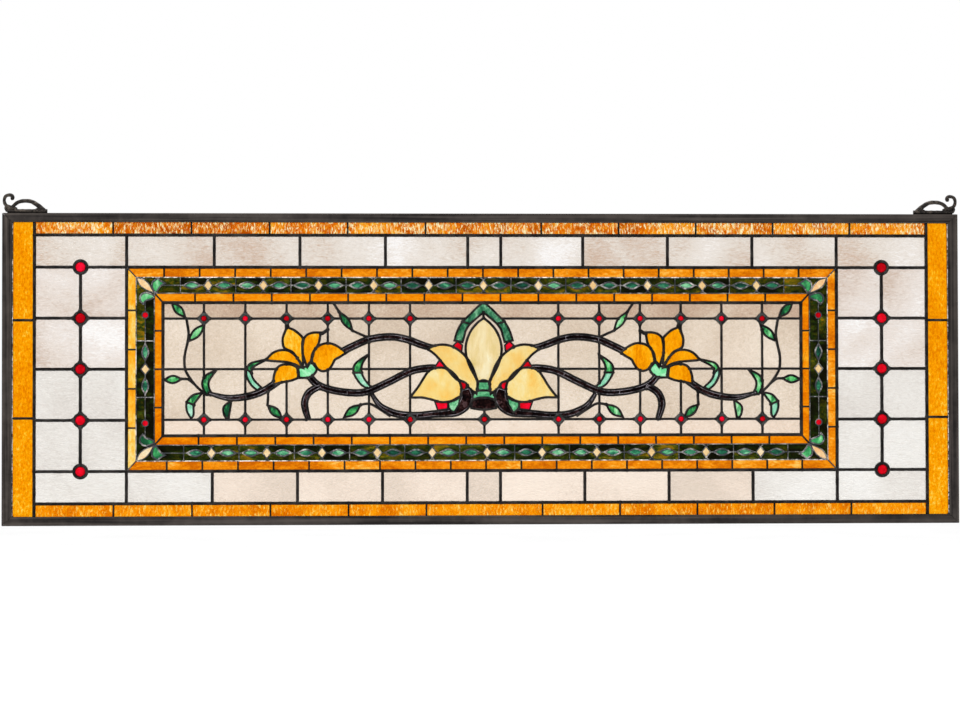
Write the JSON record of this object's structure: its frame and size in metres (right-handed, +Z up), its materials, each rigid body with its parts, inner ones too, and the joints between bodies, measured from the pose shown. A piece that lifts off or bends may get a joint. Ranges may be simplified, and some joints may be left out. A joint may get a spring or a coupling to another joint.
{
  "type": "stained glass window",
  "caption": "Long leaded glass panel with a lotus, scrolling vines and tile borders, in a metal channel frame with two scroll hooks to hang it by.",
  "frame": {"origin": "midway between the two places where the hooks' arches bear on what holds them", "axes": "+X along the panel to the right seen from its front, +Y through the glass to its back, +Z up; the front looks along -Y"},
  "size_m": [0.9022, 0.0066, 0.3123],
  "materials": {
    "frame_metal": "dark grey-brown, satin, lightly rubbed",
    "hook_iron": "dark bronze-black, satin, rope-like carving",
    "lead": "soldered lead with dark patina, satin, with silvery rubs",
    "amber_glass": "streaky and rippled opalescent glass",
    "gold_glass": "streaky opalescent glass",
    "clear_glass": "clear rippled glass",
    "field_glass": "pale grained glass",
    "band_glass": "near-black green glass, mottled",
    "red_glass": "polished domed jewels",
    "cream_glass": "streaky cream opalescent glass",
    "green_glass": "streaky green opalescent glass",
    "mint_glass": "mint opalescent glass",
    "orange_glass": "streaky orange opalescent glass"
  },
  "bodies": {
    "root": {"amber_glass_bottom": "amber_glass", "amber_glass_left": "amber_glass", "amber_glass_right": "amber_glass", "amber_glass_top": "amber_glass", "clear_border_glass": "clear_glass", "field_glass": "field_glass", "field_glass_between_vines_left": "field_glass", "field_glass_between_vines_right": "field_glass", "field_glass_in_arch_left": "field_glass", "field_glass_in_arch_right": "field_glass", "field_glass_in_hook_left": "field_glass", "field_glass_in_hook_right": "field_glass", "field_glass_under_vine_left": "field_glass", "field_glass_under_vine_right": "field_glass", "flower_left_calyx": "mint_glass", "flower_left_hanging": "orange_glass", "flower_left_inner": "orange_glass", "flower_left_lying": "orange_glass", "flower_left_outer": "orange_glass", "flower_left_upright": "orange_glass", "flower_right_calyx": "mint_glass", "flower_right_hanging": "orange_glass", "flower_right_inner": "orange_glass", "flower_right_lying": "orange_glass", "flower_right_outer": "orange_glass", "flower_right_upright": "orange_glass", "green_band": "band_glass", "inner_gold_line_bottom": "gold_glass", "inner_gold_line_left": "gold_glass", "inner_gold_line_right": "gold_glass", "inner_gold_line_top": "gold_glass", "jewel_left_1": "red_glass", "jewel_left_2": "red_glass", "jewel_left_3": "red_glass", "jewel_left_4": "red_glass", "jewel_left_5": "red_glass", "jewel_right_1": "red_glass", "jewel_right_2": "red_glass", "jewel_right_3": "red_glass", "jewel_right_4": "red_glass", "jewel_right_5": "red_glass", "lead_net": "lead", "lotus_arch": "green_glass", "lotus_calyx": "mint_glass", "lotus_petal_centre": "cream_glass", "lotus_petal_inner_left": "cream_glass", "lotus_petal_inner_right": "cream_glass", "lotus_petal_outer_left": "cream_glass", "lotus_petal_outer_right": "cream_glass", "outer_gold_line_bottom": "gold_glass", "outer_gold_line_left": "gold_glass", "outer_gold_line_right": "gold_glass", "outer_gold_line_top": "gold_glass", "rail_bottom": "frame_metal", "rail_left": "frame_metal", "rail_right": "frame_metal", "rail_top": "frame_metal", "scroll_hook_left": "hook_iron", "scroll_hook_right": "hook_iron"}
  },
  "joints": []
}
